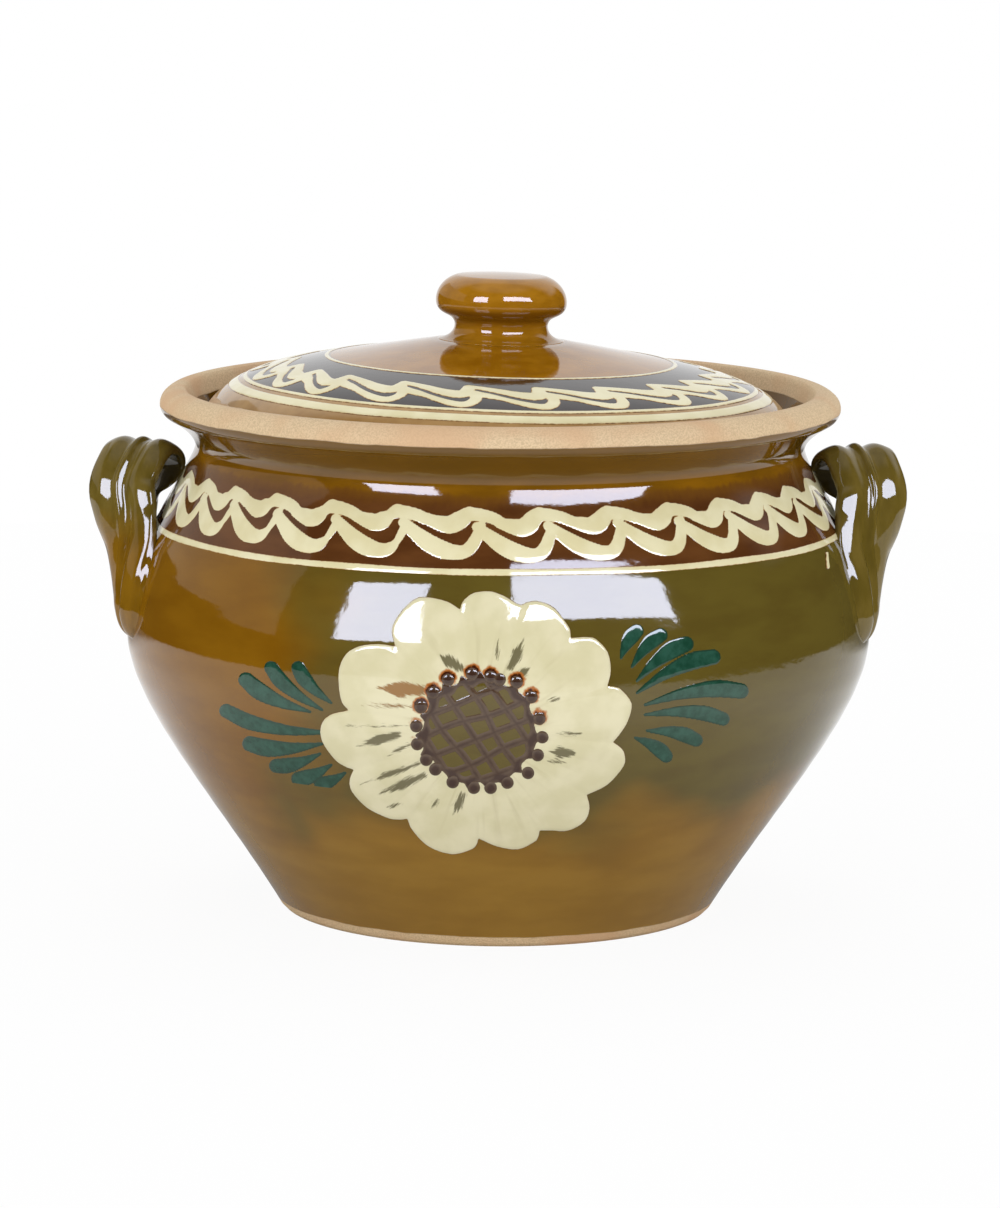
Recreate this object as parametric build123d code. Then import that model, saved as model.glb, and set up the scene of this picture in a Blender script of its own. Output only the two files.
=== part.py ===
from build123d import *
import os
from math import cos, radians, sin

# Lidded clay pot: a thrown earthenware pot with two pulled strap handles and a
# domed lid that drops into a gallery inside the rim. Lengths are in mm and
# angles in degrees. The origin is the centre of the foot on the table, +Z is
# up, +X runs towards the right handle and the decorated front faces -Y.

# Pot body
foot_radius = 70.8
foot_bevel = 1.4
belly_radius = 120.3
belly_height = 90.0
neck_radius = 98.3
neck_height = 150.5
wall = 6.5
floor_thickness = 8.0
floor_corner_radius = 12.0

# Rim and gallery
rim_radius = 109.6
rim_rise = 18.5
rim_lip_drop = 0.6
gallery_drop = 12.6
gallery_ledge = 4.9
gallery_flare = 4.7
gallery_corner_bevel = 1.0
throat_bevel = 1.0

# Lid
lid_clearance = 1.2
lid_bearing = 5.0
lid_wall = 5.4
lid_edge_height = 2.6
lid_rise = 27.9
lid_foot_bevel = 0.5

# Knob
knob_foot_radius = 20.4
knob_neck_radius = 15.0
knob_neck_height = 4.8
knob_radius = 21.1
knob_bulge_height = 13.6
knob_crown_radius = 14.5
knob_height = 21.3

# Strap handles
strap_width = 25.0
strap_thickness = 6.8
strap_crest_rise = 1.5
strap_tail_rise = 3.0
strap_reach = 21.5
strap_turn = 57.0
strap_upper_azimuth = 3.4
strap_lower_azimuth = 10.6

# Control points of the pot's two outer curves, from foot to belly and from
# belly to neck, as shares of the way across and up
lower_curve_shares = [(0.44, 0.40), (1.00, 0.75)]
upper_curve_shares = [(0.00, 0.49), (1.00, 0.86)]

# The rim's section as shares of its overhang past the neck and of its rise
# above the neck: the hollow under it, its rolled nose and its crown
rim_hollow_shares = [(0.00, 0.26), (0.38, 0.40)]
rim_root_shares = (0.82, 0.51)
rim_nose_shares = [(1.05, 0.58), (1.06, 0.80)]
rim_brow_shares = (0.84, 0.90)
rim_crown_shares = [(0.70, 0.98), (0.46, 1.03)]

# Control points of the dome, from the knob's foot out to the edge
dome_curve_shares = [(0.80, 0.42), (0.86, 0.60)]

# The knob's section: how its neck flares into the foot, swells to the bulge
# and rolls over to the crown, as shares of each stretch
knob_flare_shares = [(0.55, 0.10), (1.00, 0.45)]
knob_swell_shares = [(0.05, 0.55), (1.00, 0.30)]
knob_roll_shares = [(0.00, 0.62), (0.42, 0.84)]
knob_crown_share = 0.92

# The strap's section: places as shares of half its width and heights as shares
# of its thickness, for the middle ridge, the groove and broad lobe on each
# side of it, the rounded edge and the slightly hollow back
ridge_height_share = 0.62
groove_shares = (0.22, 0.40)
lobe_shares = (0.55, 0.54)
edge_shares = (0.90, 0.30)
back_shares = (0.86, -0.42)
back_hollow_share = -0.36

# The strap's course, from its upper root over the crest to its pressed tail.
# Each station's shares are, in order: of the turn from the upper azimuth to
# the lower, of the height from tail to crest, of the reach off the pot's
# wall, of half a thickness of seat on that wall, of the forward turn of the
# strap's face, of its width and of its thickness.
course_shares = [
    (-0.04, 0.34, -0.30, 1.0, 0.00, 0.90, 0.80),
    (-0.02, 0.48, 0.00, 0.6, 0.00, 1.06, 1.00),
    (0.00, 0.66, 0.10, 1.0, 0.06, 1.08, 1.05),
    (0.04, 0.83, 0.30, 1.0, 0.36, 1.04, 1.00),
    (0.18, 0.95, 0.50, 1.0, 0.86, 1.00, 0.98),
    (0.44, 1.00, 0.73, 1.0, 1.00, 1.00, 0.96),
    (0.60, 0.97, 0.85, 1.0, 0.97, 1.00, 0.96),
    (0.68, 0.84, 0.79, 1.0, 0.91, 1.00, 0.97),
    (0.75, 0.68, 0.50, 1.0, 0.79, 1.01, 1.00),
    (0.85, 0.50, 0.24, 1.0, 0.52, 1.03, 1.02),
    (0.94, 0.34, 0.09, 1.0, 0.22, 1.04, 1.02),
    (0.99, 0.19, 0.01, 0.7, 0.05, 1.03, 1.05),
    (1.00, 0.09, 0.00, 0.4, 0.00, 1.00, 1.00),
    (1.00, 0.01, 0.00, -0.2, 0.00, 0.92, 0.80),
    (1.00, -0.06, 0.00, -1.3, 0.00, 0.80, 0.56),
]


# Drawing helpers

def between(start, end, share):
    """The value that lies a share of the way from start to end."""
    return start + (end - start) * share


def swung_line(start, end, shares):
    """A profile line from start to end that two control points swing out."""
    controls = [
        (between(start[0], end[0], across), between(start[1], end[1], up))
        for across, up in shares
    ]
    return Bezier(start, *controls, end)


def turned(profile_lines):
    """The solid that a closed half profile of radius and height makes when it is turned."""
    return revolve(Plane.XZ * make_face(profile_lines), Axis.Z)


# Heights and radii that the pot, the lid and the handles share

rim_height = neck_height + rim_rise
gallery_height = rim_height - gallery_drop
strap_crest_height = neck_height + strap_crest_rise
strap_tail_height = belly_height + strap_tail_rise
throat_radius = neck_radius - wall
gallery_radius = throat_radius + gallery_ledge
lip_radius = gallery_radius + gallery_flare
gallery_slope = gallery_flare / (rim_height - gallery_height)
lid_foot_radius = gallery_radius - lid_clearance
lid_radius = lid_foot_radius + gallery_slope * lid_edge_height
dome_height = gallery_height + lid_rise
pot_foot = (foot_radius, foot_bevel)
pot_belly = (belly_radius, belly_height)
pot_neck = (neck_radius, neck_height)
lower_wall_line = swung_line(pot_foot, pot_belly, lower_curve_shares)
upper_wall_line = swung_line(pot_belly, pot_neck, upper_curve_shares)


def wall_radius(height):
    """The pot's outer radius at a height between its foot and its neck."""
    line = lower_wall_line if height < belly_height else upper_wall_line
    low, high = 0.0, 1.0
    while high - low > 1e-6:
        middle = (low + high) / 2
        if (line @ middle).Y < height:
            low = middle
        else:
            high = middle
    return (line @ low).X


# Pot body

def rim_point(shares):
    """A point of the rim's section, from its shares of overhang and rise."""
    overhang, rise = shares
    return (
        between(neck_radius, rim_radius, overhang),
        between(neck_height, rim_height, rise),
    )


def rim_lines():
    """The rim's section, from the neck round its rolled nose to the gallery's lip."""
    root = rim_point(rim_root_shares)
    brow = rim_point(rim_brow_shares)
    lip = (lip_radius, rim_height - rim_lip_drop)
    hollow = Bezier(pot_neck, *[rim_point(shares) for shares in rim_hollow_shares], root)
    nose = Bezier(root, *[rim_point(shares) for shares in rim_nose_shares], brow)
    crown = Bezier(brow, *[rim_point(shares) for shares in rim_crown_shares], lip)
    return [hollow, nose, crown]


def foot_lines():
    """The flat foot and its turned bevel."""
    flat = Line((0, 0), (foot_radius - foot_bevel, 0))
    return [flat, Line(flat @ 1, pot_foot)]


def gallery_lines(lip):
    """The flared seat for the lid, its eased corner and the throat below it."""
    flare_start = (
        gallery_radius + gallery_slope * gallery_corner_bevel,
        gallery_height + gallery_corner_bevel,
    )
    ledge_end = (gallery_radius - gallery_corner_bevel, gallery_height)
    throat_top = (throat_radius + throat_bevel, gallery_height)
    throat = (throat_radius, gallery_height - throat_bevel)
    return [
        Line(lip, flare_start),
        Line(flare_start, ledge_end),
        Line(ledge_end, throat_top),
        Line(throat_top, throat),
    ]


def inside_lines(throat):
    """The thrown inside, one wall in from the outer curves, down to the flat floor."""
    inner_neck = (throat_radius, neck_height)
    inner_belly = (belly_radius - wall, belly_height)
    floor_edge = (foot_radius - wall + floor_corner_radius, floor_thickness + floor_corner_radius)
    floor_flat = (foot_radius - wall - floor_corner_radius, floor_thickness)
    corner = (foot_radius - wall, floor_thickness)
    return [
        Line(throat, inner_neck),
        swung_line(inner_neck, inner_belly, [(1 - x, 1 - y) for x, y in upper_curve_shares[::-1]]),
        swung_line(inner_belly, floor_edge, [(1 - x, 1 - y) for x, y in lower_curve_shares[::-1]]),
        Bezier(floor_edge, corner, floor_flat),
        Line(floor_flat, (0, floor_thickness)),
        Line((0, floor_thickness), (0, 0)),
    ]


def make_pot_body():
    """The hollow pot with its rolled rim and the gallery that holds the lid."""
    rim = rim_lines()
    gallery = gallery_lines(rim[-1] @ 1)
    inside = inside_lines(gallery[-1] @ 1)
    return turned([*foot_lines(), lower_wall_line, upper_wall_line, *rim, *gallery, *inside])


def make_pot_form():
    """The pot's outer form without its hollow, which trims what is luted onto it."""
    axis_top = (0, neck_height)
    closing = [Line(pot_neck, axis_top), Line(axis_top, (0, 0))]
    return turned([*foot_lines(), lower_wall_line, upper_wall_line, *closing])


# Lid and knob

def make_lid_shell():
    """The domed lid, hollow underneath, with a flat foot that sits on the gallery's ledge."""
    foot_height = gallery_height
    pad = (knob_foot_radius, dome_height)
    edge = (lid_radius, foot_height + lid_edge_height)
    foot_outer = (lid_foot_radius, foot_height + lid_foot_bevel)
    foot_flat = (lid_foot_radius - lid_foot_bevel, foot_height)
    bearing_inner = (lid_foot_radius - lid_bearing, foot_height)
    inner_edge = (lid_foot_radius - lid_bearing, foot_height + lid_foot_bevel)
    inner_pad = (knob_foot_radius, dome_height - lid_wall)
    return turned([
        Line((0, dome_height), pad),
        swung_line(pad, edge, dome_curve_shares),
        Line(edge, foot_outer),
        Line(foot_outer, foot_flat),
        Line(foot_flat, bearing_inner),
        Line(bearing_inner, inner_edge),
        swung_line(inner_edge, inner_pad, [(1 - x, 1 - y) for x, y in dome_curve_shares[::-1]]),
        Line(inner_pad, (0, dome_height - lid_wall)),
        Line((0, dome_height - lid_wall), (0, dome_height)),
    ])


def make_lid_knob():
    """The thrown knob: a flared foot, a waisted neck, a round bulge and a low crown."""
    foot = (knob_foot_radius, dome_height)
    neck = (knob_neck_radius, dome_height + knob_neck_height)
    bulge = (knob_radius, dome_height + knob_bulge_height)
    brow_height = dome_height + between(knob_bulge_height, knob_height, knob_crown_share)
    brow = (knob_crown_radius, brow_height)
    top = (0, dome_height + knob_height)
    return turned([
        Line((0, dome_height), foot),
        swung_line(foot, neck, knob_flare_shares),
        swung_line(neck, bulge, knob_swell_shares),
        swung_line(bulge, brow, knob_roll_shares),
        Bezier(brow, (knob_crown_radius / 2, top[1]), top),
        Line(top, (0, dome_height)),
    ])


# Strap handles

def strap_section(plane, width, thickness):
    """The strap's section: two broad lobes and a narrow ridge over a slightly hollow back."""

    def place(shares):
        return (width / 2 * shares[0], thickness * shares[1])

    def mirrored(shares):
        return (-shares[0], shares[1])

    face_half = [(1, 0), edge_shares, lobe_shares, groove_shares]
    face = [*[mirrored(shares) for shares in face_half], (0, ridge_height_share), *face_half[::-1]]
    back = [(1, 0), back_shares, (0, back_hollow_share), mirrored(back_shares), (-1, 0)]
    rise, fall = (0, 1), (0, -1)
    face_line = Spline([place(shares) for shares in face], tangents=[rise, fall])
    back_line = Spline([place(shares) for shares in back], tangents=[fall, rise])
    return plane * make_face([face_line, back_line])


def strap_station(shares):
    """Where a station of the right strap lies, and the way its width runs there."""
    turned_share, height_share, reach_share, seat_share, forward_share = shares[:5]
    azimuth = between(-strap_upper_azimuth, strap_lower_azimuth, turned_share)
    crest = strap_crest_height - strap_thickness / 2
    height = between(strap_tail_height, crest, height_share)
    seat = seat_share * strap_thickness / 2
    radius = wall_radius(height) + strap_reach * reach_share + seat
    facing = radians(azimuth + strap_turn * forward_share)
    place = Vector(radius * cos(radians(azimuth)), -radius * sin(radians(azimuth)), height)
    return place, Vector(sin(facing), cos(facing), 0)


def make_right_handle():
    """The pulled strap that rises from the shoulder, curls forward and runs down the belly."""
    stations = [strap_station(shares) for shares in course_shares]
    course = Spline([place for place, _ in stations])
    sections = []
    for (place, width_way), shares in zip(stations, course_shares):
        along = course % course.param_at_point(place)
        across = (width_way - along * width_way.dot(along)).normalized()
        plane = Plane(place, x_dir=across, z_dir=along)
        sections.append(strap_section(plane, strap_width * shares[5], strap_thickness * shares[6]))
    return loft(sections) - make_pot_form()


right_handle = make_right_handle()
parts = {
    "pot_body": make_pot_body(),
    "lid_shell": make_lid_shell(),
    "lid_knob": make_lid_knob(),
    "right_handle": right_handle,
    "left_handle": mirror(right_handle, about=Plane.YZ),
}

os.makedirs("parts", exist_ok=True)
for name, part in parts.items():
    export_step(part, f"parts/{name}.step")
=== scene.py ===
# %% [markdown]
# # A lidded clay pot
# The real pot is red-buff earthenware, thrown on a wheel, painted with coloured
# slips and dipped in a clear honey glaze. Its lid drops into a gallery inside the
# rim and lifts off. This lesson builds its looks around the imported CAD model, which
# stays the measure for every size and place. The script draws in millimetres and
# turns each piece to metres once, at its end.

from math import atan2, cos, hypot, pi, radians, sin

import bmesh
import bpy
import numpy as np
from mathutils import Matrix, Vector
from mathutils.geometry import interpolate_bezier


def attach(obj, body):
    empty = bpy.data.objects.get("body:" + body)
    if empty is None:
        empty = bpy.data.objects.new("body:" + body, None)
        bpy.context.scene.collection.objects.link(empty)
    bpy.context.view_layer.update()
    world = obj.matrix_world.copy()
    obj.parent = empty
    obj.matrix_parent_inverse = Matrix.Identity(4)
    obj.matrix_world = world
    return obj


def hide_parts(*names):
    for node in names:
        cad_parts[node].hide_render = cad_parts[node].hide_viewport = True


MM = 0.001

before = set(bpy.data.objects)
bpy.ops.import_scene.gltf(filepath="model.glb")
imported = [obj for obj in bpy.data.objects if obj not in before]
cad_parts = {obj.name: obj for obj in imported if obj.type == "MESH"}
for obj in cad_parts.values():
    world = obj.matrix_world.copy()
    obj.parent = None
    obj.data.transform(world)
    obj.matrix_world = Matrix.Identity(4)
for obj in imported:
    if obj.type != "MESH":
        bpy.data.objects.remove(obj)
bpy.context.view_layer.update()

# %% [markdown]
# ## Camera
# The photograph looks at the pot from a little above, from far enough away that
# the foot, the belly and the rim show nearly the same turn of their circles. The
# camera comes first, because parts of the painted flower are placed by where they
# are seen in the 1000 by 1208 picture. The rings of the real pot run down to the
# right by half a degree, which is a small roll of the camera.

# %% Set the camera
picture_width = 1000
picture_height = 1208
camera_place = Vector((0.49, -1700.0, 370.0))
camera_pitch = radians(9.09)
camera_roll = radians(0.55)
focal_pixels = 5302.6
sensor_size = 36.0

camera_turn = Matrix.Rotation(pi / 2 - camera_pitch, 4, "X") @ Matrix.Rotation(camera_roll, 4, "Z")
camera_data = bpy.data.cameras.new("picture_camera")
camera_data.sensor_width = sensor_size
camera_data.lens = focal_pixels / picture_height * sensor_size
camera = bpy.data.objects.new("picture_camera", camera_data)
camera.matrix_world = Matrix.Translation(camera_place * MM) @ camera_turn
bpy.context.scene.collection.objects.link(camera)
bpy.context.scene.camera = camera
bpy.context.scene.view_settings.view_transform = "Standard"
print("lens", round(camera_data.lens, 1), "mm")

# %% [markdown]
# ## Small helpers
# Colours are picked as sRGB hex values, as a paint program shows them, and Blender
# wants them linear. One helper adds a shader node with its settings and links, and
# one draws a smooth line through a few points, because slip is trailed in easy
# curves and never in straight runs.

# %% Colour, node and line helpers
def linear(hex_colour):
    """The linear colour of an sRGB hex value."""
    parts = [int(hex_colour[place:place + 2], 16) / 255 for place in (1, 3, 5)]
    return (*[p / 12.92 if p <= 0.04045 else ((p + 0.055) / 1.055) ** 2.4 for p in parts], 1.0)


def add(tree, kind, inputs=None, output=0, **settings):
    """Adds a shader node with its settings and links, and returns one of its outputs."""
    made = tree.nodes.new("ShaderNode" + kind)
    for name, value in settings.items():
        setattr(made, name, value)
    for name, value in (inputs or {}).items():
        if isinstance(value, bpy.types.NodeSocket):
            tree.links.new(value, made.inputs[name])
        else:
            made.inputs[name].default_value = value
    return made.outputs[output] if made.outputs else made


def smooth_line(points, samples=8):
    """A smooth line through rows of numbers, with this many steps between two rows."""
    rows = np.array(points, float)
    padded = np.vstack([2 * rows[0] - rows[1], rows, 2 * rows[-1] - rows[-2]])
    line = []
    for before, start, end, after in zip(padded, padded[1:], padded[2:], padded[3:]):
        for t in np.arange(samples) / samples:
            line.append(0.5 * (
                2 * start + (end - before) * t
                + (2 * before - 5 * start + 4 * end - after) * t ** 2
                + (3 * start - before - 3 * end + after) * t ** 3
            ))
    return np.array([*line, rows[-1]])


# %% [markdown]
# ## The pot's profile
# A thrown pot is one profile turned round one axis. These are the sizes and the
# curve shares of the CAD model, so the turned mesh lies on the CAD wall. A cubic
# curve with two control points draws each stretch.

# %% Draw the pot's profile
foot_radius, foot_bevel = 70.8, 1.4
belly_radius, belly_height = 120.3, 90.0
neck_radius, neck_height = 98.3, 150.5
wall = 6.5
floor_thickness, floor_corner = 8.0, 12.0
rim_radius, rim_height, rim_lip_drop = 109.6, 169.0, 0.6
gallery_height, gallery_ledge, gallery_flare = 156.4, 4.9, 4.7
throat_radius = neck_radius - wall
gallery_radius = throat_radius + gallery_ledge
lip_radius = gallery_radius + gallery_flare


def swung(start, end, shares, count):
    """Points from start to end, the last one left off, that two control points swing out."""
    controls = [
        (start[0] + (end[0] - start[0]) * across, start[1] + (end[1] - start[1]) * up)
        for across, up in shares
    ]
    knots = [Vector((x, y, 0)) for x, y in (start, *controls, end)]
    return [(p.x, p.y) for p in interpolate_bezier(*knots, count + 1)[:-1]]


def rim_point(across, up):
    """A point of the rim from its shares of overhang and rise."""
    return (
        neck_radius + (rim_radius - neck_radius) * across,
        neck_height + (rim_height - neck_height) * up,
    )


def rim_stretch(start, end, *controls, count):
    """A stretch of the rim between two points, given with its controls in rim shares."""
    knots = [Vector((*rim_point(*shares), 0)) for shares in (start, *controls, end)]
    return [(p.x, p.y) for p in interpolate_bezier(*knots, count + 1)[:-1]]


outer_curve = (
    swung((foot_radius, foot_bevel), (belly_radius, belly_height), [(0.44, 0.40), (1.00, 0.75)], 64)
    + swung((belly_radius, belly_height), (neck_radius, neck_height), [(0.00, 0.49), (1.02, 0.89)], 48)
)
rim_root, rim_brow = (0.82, 0.51), (0.84, 0.90)
rim_curve = rim_stretch((0, 0), rim_root, (0.02, 0.08), (0.10, 0.26), count=24)
outer_wall = np.array([*outer_curve, *rim_curve, rim_point(*rim_root)])
rim_curve += rim_stretch(rim_root, rim_brow, (1.05, 0.58), (1.06, 0.80), count=12)
rim_lip = ((lip_radius - neck_radius) / (rim_radius - neck_radius), 1 - rim_lip_drop / (rim_height - neck_height))
rim_curve += rim_stretch(rim_brow, rim_lip, (0.70, 0.98), (0.46, 1.03), count=10)


def eased(start, end, count):
    """Points on a straight run, the last one left off."""
    return [tuple(p) for p in np.linspace(start, end, count + 1)[:-1]]


lip = (lip_radius, rim_height - rim_lip_drop)
corner = (gallery_radius, gallery_height)
throat_top = (throat_radius + 1.0, gallery_height)
throat = (throat_radius, gallery_height - 1.0)
inner_belly = (belly_radius - wall, belly_height)
floor_edge = (foot_radius - wall + floor_corner, floor_thickness + floor_corner)
floor_flat = (foot_radius - wall - floor_corner, floor_thickness)
inside_curve = (
    eased(lip, corner, 8)
    + eased(corner, throat_top, 3)
    + [throat_top]
    + eased(throat, (throat_radius, neck_height), 3)
    + swung((throat_radius, neck_height), inner_belly, [(0.00, 0.14), (1.00, 0.51)], 22)
    + swung(inner_belly, floor_edge, [(0.00, 0.25), (0.56, 0.60)], 26)
    + swung(floor_edge, floor_flat, [(0.50, 0.667), (0.667, 1.0)], 8)
    + eased(floor_flat, (0, floor_thickness), 10)
    + [(0, floor_thickness)]
)
pot_profile = eased((0, 0), (foot_radius - foot_bevel, 0), 10) + [(foot_radius - foot_bevel, 0)]
pot_profile += outer_curve + rim_curve + inside_curve
print("pot profile:", len(pot_profile), "points")

# %% [markdown]
# ## Hand-thrown unevenness
# Fingers leave shallow rings that climb the wall as the wheel turns, and no pot
# dries quite round. One function says how far the wall stands out or in at each
# place. The body and everything painted on it use the same function, so the paint
# stays on the wall.

# %% Describe the wall's unevenness and the surface of pot and lid
ring_pitch = 8.5
ring_depth = 0.035
oval_depth = 0.12


def unevenness(azimuth, height):
    """How far the thrown wall stands out from the true profile, in mm."""
    rings = ring_depth * np.sin(2 * pi * height / ring_pitch - azimuth)
    oval = oval_depth * np.cos(2 * azimuth + height / 60)
    return (rings + oval) * np.clip(height / 20, 0, 1)


def lifted(radius, slope, azimuth, height, lift):
    """Points at a lift off a turned wall whose radius changes by slope for each mm of height."""
    out = 1 / np.hypot(1, slope)
    radius = radius + lift * out
    height = height - lift * slope * out + 0 * azimuth
    return np.stack([radius * np.sin(azimuth), -radius * np.cos(azimuth), height], -1)


def pot_radius(height):
    """The true outer radius of the pot at a height."""
    return np.interp(height, outer_wall[:, 1], outer_wall[:, 0])


def on_pot(azimuth, height, lift):
    """Points on the pot's outside, by azimuth from the front, height and lift."""
    slope = pot_radius(height + 0.5) - pot_radius(height - 0.5)
    return lifted(pot_radius(height) + unevenness(azimuth, height), slope, azimuth, height, lift)


lid_clearance, lid_bearing, lid_wall = 1.2, 5.0, 5.4
lid_edge_height, lid_rise, lid_bevel = 2.6, 27.9, 0.5
knob_foot_radius = 20.4
lid_foot_radius = gallery_radius - lid_clearance
lid_radius = lid_foot_radius + gallery_flare / (rim_height - gallery_height) * lid_edge_height
dome_height = gallery_height + lid_rise
lid_edge = (lid_radius, gallery_height + lid_edge_height)
dome_curve = swung((knob_foot_radius, dome_height), lid_edge, [(0.80, 0.42), (0.86, 0.60)], 56) + [lid_edge]
dome_table = np.array([(0, dome_height), *dome_curve])
lid_lean_right, lid_lean_back = radians(1.15), radians(0.5)
lid_swell = 1.2


def leaned(places):
    """Lets the lid lean on its level foot and swell a little, as the real one does."""
    share, inwards, outwards = (
        np.clip(run, 0, 1) ** 2 * (3 - 2 * np.clip(run, 0, 1))
        for run in (
            (places[..., 2] - gallery_height) / 6.0,
            (lid_radius - np.hypot(places[..., 0], places[..., 1])) / 8.0,
            (np.hypot(places[..., 0], places[..., 1]) - 35.0) / 50.0,
        )
    )
    lean = places[..., 0] * np.tan(lid_lean_right) + places[..., 1] * np.tan(lid_lean_back)
    places[..., 2] += share * (lid_swell * inwards * outwards - lean)
    return places


def on_lid(azimuth, radius, lift):
    """Points on top of the lid, by azimuth from the front, radius and lift."""
    height = np.interp(radius, dome_table[:, 0], dome_table[:, 1])
    slope = np.interp(radius + 0.5, dome_table[:, 0], dome_table[:, 1]) - np.interp(
        radius - 0.5, dome_table[:, 0], dome_table[:, 1])
    out = 1 / np.hypot(1, slope)
    reach = radius - lift * slope * out
    places = np.stack([reach * np.sin(azimuth), -reach * np.cos(azimuth), height + lift * out], -1)
    return leaned(places)


# %% [markdown]
# ## Turning and finishing a piece
# A bmesh spin turns an open profile once round the axis. The points on the axis fall
# together in the spin, so doubles are merged before the faces are turned outwards.
# Every finished piece is scaled from millimetres to metres in its mesh, because its
# object has to stay at the origin, unturned and unscaled.

# %% Helpers that turn a profile and finish a piece
def thrown(profile, steps):
    """A profile of radii and heights turned once round the axis, as on a wheel."""
    bm = bmesh.new()
    verts = [bm.verts.new((radius, 0, height)) for radius, height in profile]
    edges = [bm.edges.new(pair) for pair in zip(verts, verts[1:])]
    bmesh.ops.spin(
        bm, geom=verts + edges, cent=(0, 0, 0), axis=(0, 0, 1), angle=2 * pi,
        steps=steps, use_merge=True, use_duplicate=False,
    )
    bmesh.ops.remove_doubles(bm, verts=bm.verts, dist=0.002)
    bmesh.ops.recalc_face_normals(bm, faces=bm.faces)
    return bm


def moved(bm, move):
    """Moves all points by a function that takes and gives an array of places in mm."""
    places = move(np.array([vert.co[:] for vert in bm.verts]))
    for vert, place in zip(bm.verts, places.tolist()):
        vert.co = place
    return bm


def finished(bm, name, material, body, replaced=()):
    """Turns a bmesh in mm to a smooth piece in metres that rides on a body."""
    bmesh.ops.scale(bm, vec=(MM, MM, MM), verts=bm.verts)
    mesh = bpy.data.meshes.new(name)
    bm.to_mesh(mesh)
    bm.free()
    mesh.shade_smooth()
    mesh.materials.append(material)
    piece = bpy.data.objects.new(name, mesh)
    bpy.context.scene.collection.objects.link(piece)
    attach(piece, body)
    if replaced:
        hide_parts(*replaced)
    print(name, len(mesh.polygons), "faces")
    return piece


# %% [markdown]
# ## Glaze
# A honey glaze is a clear, slightly yellow glass about a third of a millimetre
# thick. Over bare clay it looks amber, over a green slip olive, and over manganese
# slip nearly black. Glass has an IOR of about 1.5 and takes a sharp mirror
# reflection, so roughness is low. Its skin is never quite flat: it has a fine orange
# peel, drawn here as a bump of a few thousandths of a millimetre. The rim and the
# foot ring are wiped clean before firing, so they show the bare, grainy clay. The
# trees work in millimetres: the object's coordinates are scaled up once.

# %% Glaze helper
glaze_ior = 1.54
glaze_roughness = 0.05
clay_roughness = 0.85
peel_size, peel_depth = 3.0, 0.026
grain_size, grain_depth = 0.55, 0.045


def glazed(name, colour_of, bare_of=None):
    """A glazed earthenware. colour_of and bare_of build its colour and where it is bare."""
    material = bpy.data.materials.new(name)
    material.use_nodes = True
    tree = material.node_tree
    tree.nodes.clear()
    metres = add(tree, "TexCoord", output="Object")
    place = add(tree, "VectorMath", {0: metres, 3: 1 / MM}, operation="SCALE")
    colour = colour_of(tree, place)
    roughness = glaze_roughness
    peel = add(tree, "TexNoise", {"Vector": place, "Scale": 1 / peel_size, "Detail": 4.0})
    height = add(tree, "Math", {0: peel, 1: peel_depth * MM}, operation="MULTIPLY")
    if bare_of:
        bare = bare_of(tree, place)
        grain = add(tree, "TexNoise", {"Vector": place, "Scale": 1 / grain_size, "Detail": 3.0})
        grog = add(tree, "MapRange", {0: grain, 1: 0.36, 2: 0.62}, interpolation_type="SMOOTHSTEP")
        blotch = add(tree, "TexNoise", {"Vector": place, "Scale": 1 / 26, "Detail": 2.0})
        blush = add(tree, "MapRange", {0: blotch, 1: 0.42, 2: 0.68, 4: 0.7}, interpolation_type="SMOOTHSTEP")
        clay = add(tree, "Mix", {0: grog, 6: linear("#BEA47E"), 7: linear("#D2B890")}, output=2, data_type="RGBA")
        clay = add(tree, "Mix", {0: blush, 6: clay, 7: linear("#C69E74")}, output=2, data_type="RGBA")
        colour = add(tree, "Mix", {0: bare, 6: colour, 7: clay}, output=2, data_type="RGBA")
        roughness = add(tree, "MapRange", {0: bare, 3: glaze_roughness, 4: clay_roughness})
        grains = add(tree, "Math", {0: grain, 1: grain_depth * MM}, operation="MULTIPLY")
        height = add(tree, "Math", {0: grains, 1: bare, 2: height}, operation="MULTIPLY_ADD")
    bump = add(tree, "Bump", {"Height": height, "Distance": 1.0, "Strength": 1.0})
    shader = add(tree, "BsdfPrincipled", {
        "Base Color": colour, "Roughness": roughness, "IOR": glaze_ior, "Normal": bump,
    })
    add(tree, "OutputMaterial", {"Surface": shader})
    return material


# %% [markdown]
# ## Colours of the pot's glaze
# From foot to rim the real pot changes from honey over olive to a dark manganese
# band and back to clear amber at the neck. The olive is a copper wash that stops
# short of the left side and of the foot. The band's upper edge bleeds in fine
# streaks, because the slip ran a little on the wet clay.

# %% Pot glaze
band_bottom, band_top = 125.6, 146.8
bare_foot_height = 3.4
bare_rim_height = 163.2


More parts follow.
